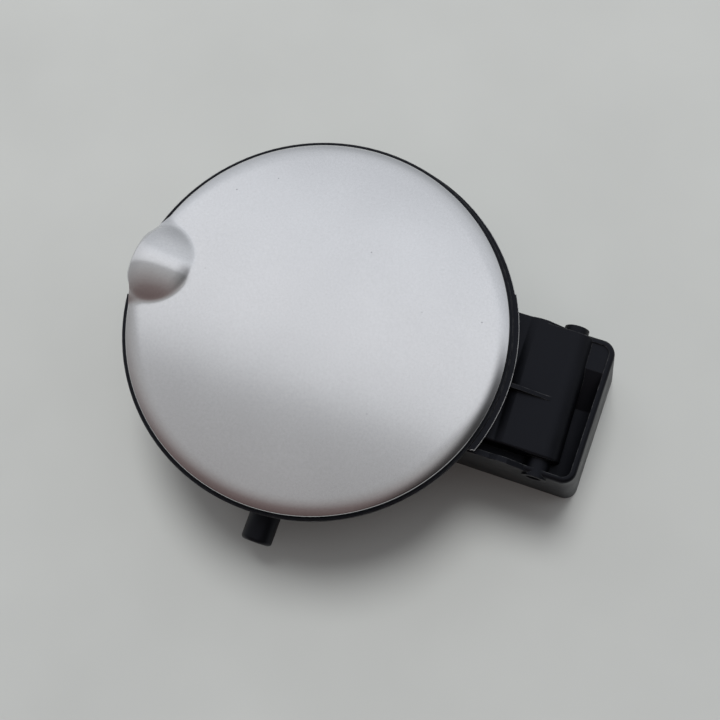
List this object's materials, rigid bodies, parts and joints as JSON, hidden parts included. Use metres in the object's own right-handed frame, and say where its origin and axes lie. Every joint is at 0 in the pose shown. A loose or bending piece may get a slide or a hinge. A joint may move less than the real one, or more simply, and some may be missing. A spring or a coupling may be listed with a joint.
{
  "type": "car fuel door",
  "caption": "Round painted fuel flap with a finger bulge on a sprung swan-neck hinge, closing a moulded filler bowl with hinge box, neck seal and drain nipple.",
  "frame": {"origin": "centre of the mouth of the neck seal's bore, on the plane the bowl stands on", "axes": "+Z out of the flap along the bowl axis, +X towards the hinge, the hinge line parallel to Y"},
  "size_m": [0.2139, 0.1767, 0.0633],
  "materials": {
    "black_moulding": "moulded, fine grain",
    "arm_moulding": "moulded, fine grain",
    "rubber": "matt",
    "zinc_steel": "zinc plated",
    "spring_steel": "drawn wire",
    "silver_paint": "silver metallic with clear coat"
  },
  "bodies": {
    "base": {"housing": "black_moulding", "neck_seal": "rubber", "hinge_pin": "zinc_steel", "hinge_spring": "spring_steel", "flap_buffer_1": "rubber", "flap_buffer_2": "rubber", "flap_buffer_3": "rubber", "flap_buffer_4": "rubber"},
    "flap": {"hinge_arm": "arm_moulding", "arm_screws": "zinc_steel", "flap_carrier": "arm_moulding", "flap_skin": "silver_paint"}
  },
  "joints": [
    {"name": "flap_hinge", "type": "hinge", "parent": "base", "child": "flap", "pos_m": [0.1054, 0, 0.038], "axis": [0, 1, 0], "range_deg": [0, 90], "stiffness_Nm_per_rad": 0.04, "springref_deg": -45.84, "deforming": ["hinge_spring"]}
  ]
}
